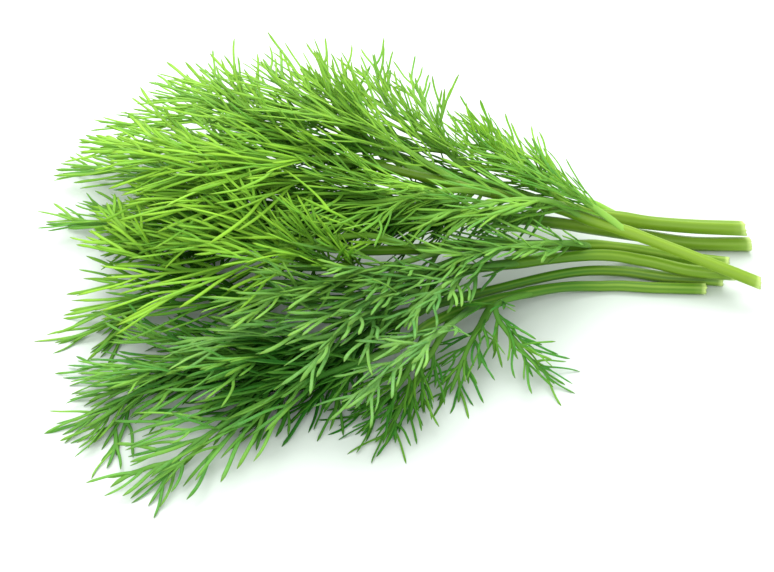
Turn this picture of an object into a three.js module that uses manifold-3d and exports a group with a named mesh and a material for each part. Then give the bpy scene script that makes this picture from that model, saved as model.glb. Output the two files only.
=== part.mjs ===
// A bunch of fresh dill lying on a table: seven cut stems and the feathery fronds that grow from them.
// Millimetres, +Z up. The cut ends point along +X and the leaf tips along -X; the table is z = 0.
import * as THREE from "three";
import { mergeVertices } from "three/addons/utils/BufferGeometryUtils.js";
import Module from "manifold-3d";

const wasm = await Module();
wasm.setup();

// Driving dimensions.
const THREAD_RADIUS = 0.45; // a leaf thread, at its widest
const SHOULDER = 2.4; // from a thread's pointed root, inside what carries it, to its widest place and bend
const MIDRIB_RADIUS = 0.9; // a frond's midrib where its sheath ends
const MIDRIB_TIP_RADIUS = 0.42;
const SHEATH_RADIUS = 1.35; // the leaf stalk's swollen foot, which clasps the stem
const SHEATH_LENGTH = 7;
const SHEATH_GAP = 0.3; // between a sheath and its stem
const CLEARANCE = 0.25; // between one frond and the next
const OWN_CLEARANCE = 0.05; // between the threads of one frond
const STEM_SIDES = 8;
const STEM_STEP = 13; // length of one straight facet of a stem
const MIDRIB_SIDES = 4;
const MIDRIB_STEPS = 5;
const THREAD_SIDES = 3;
const CHECK_STEPS = 24; // pieces of a midrib in the clearance test

// How a frond divides, in degrees and in shares of a length.
const STALK_SHARE = 0.26; // bare leaf stalk, as a share of the midrib
const LAST_PAIR = 0.93; // where the last pair of side branches leaves the midrib
const OPEN_AT_BASE = 42; // angle between the midrib and its first side branches
const OPEN_CLOSING = 18; // how much narrower the last ones are
const SPAN_REACH = 1.6; // length of a first side branch, in spans
const SPAN_TAPER = 0.52; // how much shorter the last ones are
const TURN_BACK = 0.6; // how far a thread, past its shoulder, turns back along what carries it
const LEAST_THREAD = 8; // length of the shortest thread
// The threads that leave a side branch: where, on which side, how long, and the least branch that has one.
const SIDE_THREADS = [
  { at: 0.28, side: 1, share: 0.72, least: 0 },
  { at: 0.48, side: -1, share: 0.62, least: 20 },
];
// Turns tried, in degrees, until a thread lies clear: [towards the frond's face, in its plane].
const WAYS_CLEAR = [
  [0, 0],
  [14, 0],
  [-14, 0],
  [26, 6],
  [-26, 6],
  [38, -8],
  [-38, -8],
  [10, 18],
  [-10, 18],
  [52, 0],
];
const LENGTHS_TRIED = [1, 0.72];
// The primes behind the random draws; the square of the larger one is still a whole number exactly.
const CHANCE_STEP = 7919;
const CHANCE_PRIME = 67108859;

// Each stem's centre line from its cut end, with its radius at both ends.
const STEMS = [
  {
    name: "stem_1",
    radii: [2.1, 1.3],
    line: [
      [95, 17, 6.6], [80.5, 18, 6.6], [67, 19, 7.4], [53.5, 18.5, 10.5], [43, 18, 13.5],
      [13, 26, 19], [-3, 32, 22],
    ],
  },
  {
    name: "stem_2",
    radii: [2, 1.2],
    line: [
      [97, 16, 2.1], [81, 16.5, 2.1], [67.5, 18.5, 3.2], [53, 17.5, 6.5], [41, 15.5, 10],
      [2, 17, 14], [-16, 17, 17],
    ],
  },
  {
    name: "stem_3",
    radii: [1.6, 1.1],
    line: [
      [94.5, -7.5, 7], [83.5, -2.5, 9], [73.5, 2, 10.8], [62, 6.5, 13], [53, 8.5, 15],
      [43, 11, 17.5], [23, 13.5, 21.5], [3, 16, 25.5], [-10, 18, 28],
    ],
  },
  {
    name: "stem_4",
    radii: [1.9, 1.1],
    line: [
      [90, 7.5, 1.8], [77.5, 10, 1.9], [64, 11, 4], [49, 6, 9], [20, -1, 14], [2, -8, 18],
      [-15, -12, 21],
    ],
  },
  {
    name: "stem_5",
    radii: [1.8, 1.1],
    line: [
      [90, -1, 5], [78, 0.5, 5], [66.5, 3.5, 6], [52, 3, 8.2], [23, -6, 11], [5, -12, 13],
      [-13, -18, 15],
    ],
  },
  {
    name: "stem_6",
    radii: [1.6, 1],
    line: [
      [87, 0.7, 1.5], [73.5, 2, 1.5], [60, 4, 2.2], [45.5, 0, 4.5], [23, -10, 6], [7, -19, 8],
      [-8, -27, 9],
    ],
  },
  {
    name: "stem_7",
    radii: [1.6, 1.1],
    line: [
      [82, -2.8, 1.4], [69, -2.3, 1.4], [56, -1.5, 1.4], [42, -5, 3.5], [22, -16, 7], [9, -29, 11],
      [1, -40, 12],
    ],
  },
];

// Each frond: the stem that it grows from and how far along, the points that its midrib passes to its tip,
// the length of its longest side branches and how many pairs of them it has.
const FRONDS = [
  // resting on the table, towards -Y
  { stem: 7, at: 1.0, via: [[-21, -46, 7], [-42, -60, 4], [-54, -72, 0.5]], span: 19, pairs: 5 },
  { stem: 6, at: 1.0, via: [[-29, -35, 7], [-53, -38, 5], [-67, -51, 0.5]], span: 20, pairs: 6 },
  { stem: 5, at: 1.0, via: [[-33, -18, 11], [-57, -12, 8], [-73, -21, 0.5]], span: 22, pairs: 6 },
  { stem: 6, at: 0.8, via: [[-15, -30, 2.6], [-39, -33, 0.6], [-52, -40, -0.8]], span: 16, pairs: 4 },
  { stem: 7, at: 0.86, via: [[2, -45, 6], [-7, -52, 0.5]], span: 10, pairs: 4 },
  { stem: 7, at: 0.76, via: [[8, -38, 6], [-2, -59, 0.5]], span: 8, pairs: 4 },
  { stem: 7, at: 0.62, via: [[19, -31, 6], [14, -43, 0.5]], span: 8, pairs: 4 },
  { stem: 7, at: 0.5, via: [[26, -20, 9], [31, -31, 6], [38, -37, 1.5]], span: 8, pairs: 5 },
  { stem: 6, at: 0.9, via: [[-12, -35, 8], [-29, -45, 6], [-39, -49, 3]], span: 15, pairs: 5 },
  // resting on the table, towards +Y
  { stem: 4, at: 0.92, via: [[-40, 11, 9], [-71, 22, 4], [-90, 26, 0.5]], span: 20, pairs: 6 },
  { stem: 2, at: 0.92, via: [[-44, 31, 11], [-71, 46, 6], [-88, 51, 1]], span: 20, pairs: 6 },
  { stem: 1, at: 1.0, via: [[-31, 43, 18], [-55, 63, 12], [-78, 63, 7.5]], span: 20, pairs: 6 },
  // the middle of the pile
  { stem: 7, at: 0.69, via: [[12, -35, 14], [2, -46, 15], [-9, -57, 11]], span: 10, pairs: 4 },
  { stem: 5, at: 0.8, via: [[-14, -40, 17], [-31, -37, 16], [-48, -40, 12]], span: 16, pairs: 4 },
  { stem: 6, at: 0.7, via: [[2, -23, 16.4], [-15, -34, 18.4], [-34, -33, 16.4]], span: 13, pairs: 4 },
  { stem: 4, at: 0.62, via: [[10, -13, 16], [-5, -25, 18], [-24, -30, 18]], span: 14, pairs: 4 },
  { stem: 5, at: 0.9, via: [[-17, -18, 20.6], [-35, -10, 22.6], [-56, 0, 19.6]], span: 18, pairs: 5 },
  { stem: 4, at: 1.0, via: [[-31, -2, 17], [-50, 8, 14], [-67, 9, 10.5]], span: 20, pairs: 6 },
  { stem: 2, at: 1.0, via: [[-35, 24, 21], [-60, 35, 20], [-80, 42, 15.5]], span: 20, pairs: 6 },
  { stem: 5, at: 0.55, via: [[22, -11, 14.5], [12, -22, 17], [2, -34, 17]], span: 12, pairs: 4 },
  { stem: 3, at: 0.44, via: [[40, 9, 21.3], [25, 5, 23.3], [8, -2, 21.8]], span: 14, pairs: 6 },
  { stem: 4, at: 0.35, via: [[44, 0, 14.4], [31, -6, 17.9], [14, -14, 20.4]], span: 13, pairs: 6 },
  { stem: 2, at: 0.62, via: [[0, 12, 22], [-18, 7, 22], [-38, 10, 23]], span: 19, pairs: 6 },
  // the top of the pile
  {
    stem: 4,
    at: 0.8,
    via: [[-8, -11, 24.8], [-30, -17, 23.8], [-50, -16, 17.8], [-73, 6, 13.8]],
    span: 21,
    pairs: 6,
  },
  { stem: 4, at: 0.72, via: [[4, -14, 19], [-16, -26, 22], [-36, -35, 22]], span: 15, pairs: 5 },
  { stem: 3, at: 1.0, via: [[-22, 7, 29], [-40, 4, 28], [-59, 10, 23.5]], span: 20, pairs: 6 },
  { stem: 3, at: 0.8, via: [[-6, 22, 29], [-22, 24, 31], [-40, 27, 31]], span: 17, pairs: 5 },
  {
    stem: 3,
    at: 0.94,
    via: [[-15, 13, 31.5], [-29, 8, 34], [-46, 12, 32.4], [-65, 19, 28]],
    span: 20,
    pairs: 6,
  },
  { stem: 3, at: 0.67, via: [[16, 9, 24.5], [-2, 2, 26], [-24, 0, 25]], span: 18, pairs: 6 },
  { stem: 3, at: 0.33, via: [[52, 10, 19.1], [41, 16, 23.1], [27, 24, 26.6]], span: 12, pairs: 5 },
  // rising from the back
  { stem: 1, at: 0.32, via: [[51, 25, 12], [38, 34, 16], [23, 43, 22]], span: 13, pairs: 6 },
  { stem: 1, at: 0.45, via: [[41, 22.5, 16], [30, 27, 20], [19, 36, 23]], span: 13, pairs: 5 },
  {
    stem: 1,
    at: 0.62,
    via: [[22, 25, 21.5], [9, 29, 27], [0, 35, 33], [-5, 46, 37.5]],
    span: 15,
    pairs: 6,
  },
  { stem: 1, at: 0.7, via: [[14, 26, 26.4], [10, 34, 31.4], [4, 44, 35.4]], span: 10, pairs: 4 },
  { stem: 2, at: 0.75, via: [[-5, 21, 25.2], [-13, 35, 35.2], [-19, 41, 39.2]], span: 17, pairs: 6 },
  { stem: 3, at: 0.74, via: [[0, 19, 33], [-20, 28, 38], [-33, 40, 40]], span: 18, pairs: 6 },
  { stem: 2, at: 0.84, via: [[-24, 19, 28.6], [-39, 33, 35.6], [-48, 43, 38.1]], span: 20, pairs: 6 },
  {
    stem: 1,
    at: 0.86,
    via: [[-3, 35, 27], [-25, 41, 27], [-47, 47, 27], [-61, 53, 26.5]],
    span: 20,
    pairs: 6,
  },
];

const STEM_LOOK = new THREE.MeshStandardMaterial({ color: 0x86b83a, roughness: 0.45, metalness: 0 });
const LEAF_LOOK = new THREE.MeshStandardMaterial({ color: 0x4f9a24, roughness: 0.55, metalness: 0 });

const UP = new THREE.Vector3(0, 0, 1);
const vector = (p) => new THREE.Vector3(...p);
const radians = THREE.MathUtils.degToRad;

// A number from 0 to 1, always the same for the same keys. Whole numbers keep it exact.
function chance(...keys) {
  let x = 1;
  for (const key of [...keys, 0, 0]) x = (x * x + (key + 2) * CHANCE_STEP) % CHANCE_PRIME;
  return x / CHANCE_PRIME;
}
const between = (low, high, ...keys) => low + (high - low) * chance(...keys);

// Eases a point up so that it stays at least this far above the table.
function onTable(point, least) {
  const over = point.z - least;
  const eased = over > 1 ? over : over > -1 ? 0.25 * (over + 1) ** 2 : 0;
  return new THREE.Vector3(point.x, point.y, least + eased);
}

// The axes of a section across a direction: across, level with the table, and face, nearest to up.
function sectionAxes(direction) {
  const across = new THREE.Vector3().crossVectors(direction, UP);
  if (across.length() < 0.05) across.set(0, -1, 0);
  across.normalize();
  return { across, face: new THREE.Vector3().crossVectors(across, direction).normalize() };
}

// A rod along points, with a radius at each; an end of radius 0 is pointed. A flat side faces the table.
function rod({ points, radii }, sides) {
  const steps = points.length - 1;
  const turn = sides % 2 ? 0 : Math.PI / sides;
  const profile = radii.map((radius, i) => new THREE.Vector2(radius, i));
  const closed = [new THREE.Vector2(0, 0), ...profile, new THREE.Vector2(0, steps)];
  const shape = new THREE.LatheGeometry(closed, sides, turn);
  const frames = points.map((_, i) => {
    const end = Math.max(i, 1);
    return sectionAxes(points[end].clone().sub(points[end - 1]).normalize());
  });
  const position = shape.getAttribute("position");
  for (let v = 0; v < position.count; v++) {
    const i = Math.round(position.getY(v));
    const moved = points[i]
      .clone()
      .addScaledVector(frames[i].across, position.getX(v))
      .addScaledVector(frames[i].face, position.getZ(v));
    position.setXYZ(v, moved.x, moved.y, moved.z);
  }
  return solid(shape);
}

// A closed geometry as a solid: its shared corners merged, and the triangles that this flattens left out.
function solid(geometry) {
  geometry.deleteAttribute("normal");
  geometry.deleteAttribute("uv");
  const merged = mergeVertices(geometry, 1e-4);
  const corners = merged.index.array;
  const triangles = [];
  for (let t = 0; t < corners.length; t += 3) {
    const [a, b, c] = corners.slice(t, t + 3);
    if (a !== b && b !== c && c !== a) triangles.push(a, b, c);
  }
  return new wasm.Manifold(
    new wasm.Mesh({
      numProp: 3,
      vertProperties: new Float32Array(merged.getAttribute("position").array),
      triVerts: new Uint32Array(triangles),
    }),
  );
}

function mesh(name, made, look) {
  const { vertProperties, triVerts } = made.getMesh();
  const geometry = new THREE.BufferGeometry()
    .setAttribute("position", new THREE.BufferAttribute(new Float32Array(vertProperties), 3))
    .setIndex(new THREE.BufferAttribute(new Uint32Array(triVerts), 1));
  const result = new THREE.Mesh(geometry, look);
  result.name = name;
  return result;
}

const spline = (points) => new THREE.CatmullRomCurve3(points, false, "catmullrom", 0.5);

// The least distance between the straight pieces a-b and c-d.
function pieceDistance(a, b, c, d) {
  const ab = b.clone().sub(a);
  const cd = d.clone().sub(c);
  const ca = a.clone().sub(c);
  const [aa, ee, ff] = [ab.dot(ab), cd.dot(cd), cd.dot(ca)];
  const [bb, cc] = [ab.dot(cd), ab.dot(ca)];
  const flat = aa * ee - bb * bb;
  let s = flat > 1e-9 ? THREE.MathUtils.clamp((bb * ff - cc * ee) / flat, 0, 1) : 0;
  let t = (bb * s + ff) / ee;
  if (t < 0 || t > 1) {
    t = THREE.MathUtils.clamp(t, 0, 1);
    s = THREE.MathUtils.clamp((bb * t - cc) / aa, 0, 1);
  }
  return ca.addScaledVector(ab, s).addScaledVector(cd, -t).length();
}

// Everything placed so far: straight pieces with a radius, the line that they belong to and that line's node.
const placed = [];
const pieces = ({ points, radii, node }, line) =>
  points.slice(1).map((end, i) => {
    const start = points[i];
    const middle = start.clone().add(end).multiplyScalar(0.5);
    const radius = Math.max(radii[i], radii[i + 1]);
    return { start, end, middle, radius, reach: start.distanceTo(end) / 2 + radius, line, node };
  });
function isClear(line, carrier) {
  return pieces(line, line).every((mine) =>
    placed.every((other) => {
      if (other.line === carrier) return true;
      const room = mine.node === other.node ? OWN_CLEARANCE : CLEARANCE;
      const near = mine.reach + other.reach + room;
      if (mine.middle.distanceToSquared(other.middle) > near * near) return true;
      const gap = mine.radius + other.radius + room;
      return pieceDistance(mine.start, mine.end, other.start, other.end) > gap;
    }),
  );
}
const place = (line) => placed.push(...pieces(line, line));

// A thread that leaves along a direction, then bends towards another and sags a little.
function threadLine(root, direction, length, towards, sag) {
  const bend = root.clone().addScaledVector(direction, SHOULDER);
  const onwards = direction.clone().add(towards).normalize();
  const tip = bend.clone().addScaledVector(onwards, length - SHOULDER).addScaledVector(UP, -sag);
  return [root, onTable(bend, THREAD_RADIUS / 2), onTable(tip, 0)];
}

// The direction at an angle to a parent's, on one side of it, raised out of the frond's plane.
function sideways(parent, face, side, angle, raised) {
  const out = new THREE.Vector3().crossVectors(parent, face).normalize().multiplyScalar(side);
  const flat = parent.clone().multiplyScalar(Math.cos(angle)).addScaledVector(out, Math.sin(angle));
  return flat.multiplyScalar(Math.cos(raised)).addScaledVector(face, Math.sin(raised)).normalize();
}

// The point at a share of a line's length, and the direction there.
function pointAlong({ points }, share) {
  const lengths = points.slice(1).map((end, i) => end.distanceTo(points[i]));
  let left = share * lengths.reduce((sum, length) => sum + length);
  let i = 0;
  while (left > lengths[i] && i < lengths.length - 1) {
    left -= lengths[i];
    i++;
  }
  const [start, end] = points.slice(i);
  return { point: start.clone().lerp(end, left / lengths[i]), direction: end.clone().sub(start).normalize() };
}

// Grows one thread clear of all the others, shorter if it must be, or returns null.
function growThread(carrier, root, face, aim, length, sag) {
  const radii = [0, THREAD_RADIUS, 0];
  const towards = aim.parent.clone().multiplyScalar(TURN_BACK);
  for (const share of LENGTHS_TRIED) {
    for (const [raised, swung] of WAYS_CLEAR) {
      const angle = radians(aim.angle + swung);
      const direction = sideways(aim.parent, face, aim.side, angle, radians(aim.raised + raised));
      const points = threadLine(root, direction, length * share, towards, sag);
      const line = { points, radii, node: carrier.node };
      if (isClear(line, carrier)) {
        place(line);
        return line;
      }
    }
  }
  return null;
}

// A stem as a row of straight pieces; the ones that lie on the table have a flat side flush with it.
function makeStem({ name, radii: [foot, top], line }) {
  const curve = spline(line.map(vector));
  const steps = Math.round(curve.getLength() / STEM_STEP);
  const points = curve.getSpacedPoints(steps);
  const radii = points.map((_, i) => THREE.MathUtils.lerp(foot, top, i / steps));
  points.forEach((p, i) => {
    p.z = Math.max(p.z, radii[i] * Math.cos(Math.PI / STEM_SIDES));
  });
  return { node: name, points, radii };
}

const midribRadius = (share) => THREE.MathUtils.lerp(MIDRIB_RADIUS, MIDRIB_TIP_RADIUS, share);

// A frond's midrib, which has to lie clear of the stems and of the midribs before it.
function makeFrond({ stem, at, via, span, pairs }, index) {
  const node = "frond_" + String(index + 1).padStart(2, "0");
  const parent = stems[stem - 1];
  const foot = pointAlong(parent, at * 0.985).point;
  const curve = spline([foot, ...via.map((p) => onTable(vector(p), MIDRIB_TIP_RADIUS))]);
  const points = curve.getSpacedPoints(CHECK_STEPS);
  const radii = points.map((_, i) => midribRadius(i / CHECK_STEPS));
  const free = points.findIndex((p) => p.distanceTo(foot) > SHEATH_LENGTH);
  const midrib = { points, radii, node };
  const beyondSheath = { points: points.slice(free), radii: radii.slice(free), node };
  if (!isClear(midrib, parent) || !isClear(beyondSheath, null)) {
    throw new Error("no clear way for the midrib of " + node);
  }
  place(midrib);
  return { index, parent, curve, midrib, span, pairs, branches: [], threads: [] };
}

// The side branches of a frond, in pairs from its stalk to its tip, each shorter and less open than the last.
function growBranches({ index, curve, midrib, span, pairs, branches }) {
  for (let pair = 0; pair < pairs; pair++) {
    for (const side of [1, -1]) {
      const key = [index, pair, side];
      const along = (pair + 0.5 + 0.22 * side) / pairs;
      const at = THREE.MathUtils.lerp(STALK_SHARE, LAST_PAIR, along ** 0.92);
      const parent = curve.getTangentAt(at);
      const { face } = sectionAxes(parent);
      const angle = OPEN_AT_BASE - OPEN_CLOSING * along + between(-6, 6, ...key, 1);
      const aim = { parent, side, angle, raised: between(-6, 22, ...key, 2) };
      const swell = (1 - SPAN_TAPER * along) * (0.8 + 0.2 * Math.min(1, along * 5));
      const length = span * SPAN_REACH * swell * between(0.88, 1.12, ...key, 3);
      const sag = between(0, 0.1, ...key, 4) * length;
      const branch = growThread(midrib, curve.getPointAt(at), face, aim, length, sag);
      if (branch) branches.push(Object.assign(branch, { key, face, length, side }));
    }
  }
}

// The threads of a side branch, one to each side.
function growSideThreads({ branches, threads }) {
  for (const branch of branches) {
    SIDE_THREADS.forEach(({ at, side, share, least }, j) => {
      if (branch.length < least) return;
      const { point, direction } = pointAlong(branch, at);
      const angle = between(16, 28, ...branch.key, 5, j);
      const raised = between(-8, 18, ...branch.key, 6, j);
      const aim = { parent: direction, side: side * branch.side, angle, raised };
      const length = Math.max(branch.length * share * between(0.85, 1.15, ...branch.key, 7, j), LEAST_THREAD);
      const thread = growThread(branch, point, branch.face, aim, length, 0);
      if (thread) threads.push(thread);
    });
  }
}

// A midrib with its sheath, thick where it leaves the stem.
function midribRod({ curve }) {
  const sheathEnd = SHEATH_LENGTH / curve.getLength();
  const shares = [0, 0.35 * sheathEnd, sheathEnd];
  for (let i = 1; i <= MIDRIB_STEPS; i++) shares.push(THREE.MathUtils.lerp(sheathEnd, 1, i / MIDRIB_STEPS));
  const points = shares.map((share) => curve.getPointAt(share));
  const radii = shares.map(midribRadius);
  radii.fill(SHEATH_RADIUS, 0, 2);
  radii[radii.length - 1] = 0;
  return rod({ points, radii }, MIDRIB_SIDES);
}

// A frond in one piece, cut back from its stem by the sheath's gap; what that cuts loose is dropped.
function frondSolid(frond) {
  const { points, radii } = frond.parent;
  const room = rod({ points, radii: radii.map((radius) => radius + SHEATH_GAP) }, STEM_SIDES);
  const threads = [...frond.branches, ...frond.threads].map((thread) => rod(thread, THREAD_SIDES));
  const whole = wasm.Manifold.union([midribRod(frond), ...threads]);
  return whole
    .subtract(room)
    .decompose()
    .sort((a, b) => b.volume() - a.volume())[0];
}

// The stems lie first, then every midrib, then every side branch and last the threads between them.
const stems = STEMS.map(makeStem);
stems.forEach(place);
const fronds = FRONDS.map(makeFrond);
fronds.forEach(growBranches);
fronds.forEach(growSideThreads);

const bunch = new THREE.Group();
bunch.name = "dill_bunch";
for (const stem of stems) bunch.add(mesh(stem.node, rod(stem, STEM_SIDES), STEM_LOOK));
for (const frond of fronds) bunch.add(mesh(frond.midrib.node, frondSolid(frond), LEAF_LOOK));

export default bunch;
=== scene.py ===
"""A bunch of fresh dill on a white table.

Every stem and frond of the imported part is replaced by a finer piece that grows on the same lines. The side
branches of a frond divide again into flat pointed threads, the leaf stalks clasp their stems, and the stems
are ribbed, with pale cut ends. Lengths are in millimetres until a mesh is made; the table is z = 0.
"""

import math

import bpy
import numpy as np
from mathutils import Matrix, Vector


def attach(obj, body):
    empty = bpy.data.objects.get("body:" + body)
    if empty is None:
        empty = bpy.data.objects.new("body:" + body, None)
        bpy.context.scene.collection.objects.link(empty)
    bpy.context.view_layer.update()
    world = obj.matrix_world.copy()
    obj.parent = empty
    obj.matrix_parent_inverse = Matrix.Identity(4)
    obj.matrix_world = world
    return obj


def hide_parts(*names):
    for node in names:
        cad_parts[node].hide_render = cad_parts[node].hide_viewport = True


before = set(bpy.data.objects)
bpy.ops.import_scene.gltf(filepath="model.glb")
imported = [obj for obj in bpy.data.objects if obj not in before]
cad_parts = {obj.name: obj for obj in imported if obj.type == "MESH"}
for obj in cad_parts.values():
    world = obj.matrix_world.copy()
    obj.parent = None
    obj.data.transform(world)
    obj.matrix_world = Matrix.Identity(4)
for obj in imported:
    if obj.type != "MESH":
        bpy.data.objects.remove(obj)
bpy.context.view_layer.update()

MM = 0.001
UP = np.array([0.0, 0.0, 1.0])

# How the fronds grow: the same numbers as in the part's source, in millimetres and degrees.
THREAD_RADIUS = 0.45  # a leaf thread, at its widest
MIDRIB_RADIUS = 0.9  # a frond's midrib where its sheath ends
MIDRIB_TIP_RADIUS = 0.42
SHEATH_LENGTH = 7
CLEARANCE = 0.25  # between one frond and the next
STEM_SIDES = 8
STEM_STEP = 13  # length of one straight facet of a stem
CHECK_STEPS = 24  # pieces of a midrib in the clearance test
TOP_FROND = 0.985  # where a frond at 1 leaves its stem, as a share of the stem
STALK_SHARE = 0.26  # bare leaf stalk, as a share of the midrib
LAST_PAIR = 0.93  # where the last pair of side branches leaves the midrib
PAIR_CROWDING = 0.92  # below 1, so that the pairs stand closer towards the tip
PAIR_STAGGER = 0.22  # how far each branch of a pair leaves before or after its middle, in pairs
OPEN_AT_BASE = 42  # angle between the midrib and its first side branches
OPEN_CLOSING = 18  # how much narrower the last ones are
SPAN_REACH = 1.6  # length of a first side branch, in spans
SPAN_TAPER = 0.52  # how much shorter the last ones are
FIRST_SPAN = 0.8  # the first pair's length, beside its full one
FIRST_SPAN_REST = 0.2  # what the pairs after it gain
FIRST_SPAN_GROWTH = 5  # they have their full length from one part in so many of the midrib on
LEAST_THREAD = 8  # length of the shortest thread
EASE = 1  # how far above its least height a point begins to be lifted
UPRIGHT = 0.05  # a direction this near to upright, as a sine, has no level side of its own
# The primes behind the random draws.
CHANCE_STEP = 7919
CHANCE_PRIME = 67108859
# Turns tried, in degrees, until a thread lies clear: (towards the frond's face, in its plane).
WAYS_CLEAR = [(0, 0), (14, 0), (-14, 0), (26, 6), (-26, 6), (38, -8), (-38, -8), (10, 18), (-10, 18), (52, 0)]
# The threads that leave a side branch: where, on which side, how long, and the least branch that has one.
SIDE_THREADS = [
    {"at": 0.28, "side": 1, "share": 0.72, "least": 0},
    {"at": 0.48, "side": -1, "share": 0.62, "least": 20},
]
# The ranges of the random draws, in degrees and in shares of a length.
BRANCH_TURNS = (-6, 6)
BRANCH_RAISED = (-6, 22)
BRANCH_LENGTHS = (0.88, 1.12)
BRANCH_SAGS = (0, 0.1)
THREAD_ANGLES = (16, 28)
THREAD_RAISED = (-8, 18)
THREAD_LENGTHS = (0.85, 1.15)

# How a thread of the part's source grows, and how a finer one grows between and on those.
COARSE = {
    "radius": THREAD_RADIUS,
    "shoulder": 2.4,  # from its pointed root, inside what carries it, to its widest place and bend
    "turn_back": 0.6,  # how far, past its shoulder, it turns back along what carries it
    "rooms": (CLEARANCE, 0.05),  # kept between it and another frond, and between it and its own
    "lengths": (1, 0.72),  # tried one after another, as shares of its full length
    "least": 0,  # the length below which it doesn't grow
}
FINE = {
    "radius": 0.26,  # half the room that it takes up among the others
    "shoulder": 2.4,
    "turn_back": 0.9,
    "rooms": (-0.25, -0.25),  # less than none, as it is flatter than its room
    "lengths": (1, 0.8, 0.62),
    "least": 8.5,
}
LEAST_FINE_THREAD = 9.5  # length of the shortest fine thread, before it is shortened to lie clear
MORE_SIDE_THREADS = [
    {"at": 0.14, "side": -1, "share": 0.8},
    {"at": 0.62, "side": 1, "share": 0.6},
]
THREADS_OF_THREADS = [
    {"at": 0.3, "side": 1, "share": 0.72},
    {"at": 0.52, "side": -1, "share": 0.58},
]
FINE_THREAD_SHIFTS = (-0.03, 0.03)  # of its place along what carries it
FINE_THREAD_ANGLES = (20, 38)
FINE_THREAD_RAISED = (-14, 16)
FINE_THREAD_LENGTHS = (0.8, 1.2)
FINE_BRANCH_PLACES = (0.05, 0.8)  # from the first to the last along a midrib
FINE_BRANCH_ANGLES = (14, 40)
FINE_BRANCH_LENGTHS = (0.55, 0.95)
FINE_STAGGER = 0.25
FINE_FIRST_SPAN = 0.75  # the first fine branches' length, beside their full one
# The fronds whose threads divide once more, counted from 0, and the length below which a thread doesn't.
DENSE_FRONDS = (1, 3, 8, 16, 17, 22, 26, 28)
LEAST_DIVIDED = 11
# How far fine branches stand out of a frond's plane, in most fronds and, counted from 0, in those where they
# hang into the pile or stand out all round.
FINE_BRANCH_RAISED = (-45, 40)
HANGING = (-85, -10)
BUSHY = (-80, 80)
OTHERS_RAISED = {16: BUSHY, 17: BUSHY, 20: HANGING, 22: HANGING, 28: HANGING}
# Numbers that keep the draws of fine branches and fine threads apart from the others.
FINE_BRANCH_KEY = 60
FINE_THREAD_KEY = 21

# Each stem's radius at its cut end and at its top, its hue from green (0) to olive (1), and its centre line
# from the cut end.
STEMS = {
    "stem_1": {"radii": (2.1, 1.3), "hue": 0.7, "line": [
        (95, 17, 6.6), (80.5, 18, 6.6), (67, 19, 7.4), (53.5, 18.5, 10.5), (43, 18, 13.5),
        (13, 26, 19), (-3, 32, 22),
    ]},
    "stem_2": {"radii": (2, 1.2), "hue": 0.5, "line": [
        (97, 16, 2.1), (81, 16.5, 2.1), (67.5, 18.5, 3.2), (53, 17.5, 6.5), (41, 15.5, 10),
        (2, 17, 14), (-16, 17, 17),
    ]},
    "stem_3": {"radii": (1.6, 1.1), "hue": 0.95, "line": [
        (94.5, -7.5, 7), (83.5, -2.5, 9), (73.5, 2, 10.8), (62, 6.5, 13), (53, 8.5, 15),
        (43, 11, 17.5), (23, 13.5, 21.5), (3, 16, 25.5), (-10, 18, 28),
    ]},
    "stem_4": {"radii": (1.9, 1.1), "hue": 0.45, "line": [
        (90, 7.5, 1.8), (77.5, 10, 1.9), (64, 11, 4), (49, 6, 9), (20, -1, 14),
        (2, -8, 18), (-15, -12, 21),
    ]},
    "stem_5": {"radii": (1.8, 1.1), "hue": 0.5, "line": [
        (90, -1, 5), (78, 0.5, 5), (66.5, 3.5, 6), (52, 3, 8.2), (23, -6, 11),
        (5, -12, 13), (-13, -18, 15),
    ]},
    "stem_6": {"radii": (1.6, 1), "hue": 0.15, "line": [
        (87, 0.7, 1.5), (73.5, 2, 1.5), (60, 4, 2.2), (45.5, 0, 4.5), (23, -10, 6),
        (7, -19, 8), (-8, -27, 9),
    ]},
    "stem_7": {"radii": (1.6, 1.1), "hue": 0.1, "line": [
        (82, -2.8, 1.4), (69, -2.3, 1.4), (56, -1.5, 1.4), (42, -5, 3.5), (22, -16, 7),
        (9, -29, 11), (1, -40, 12),
    ]},
}

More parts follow.
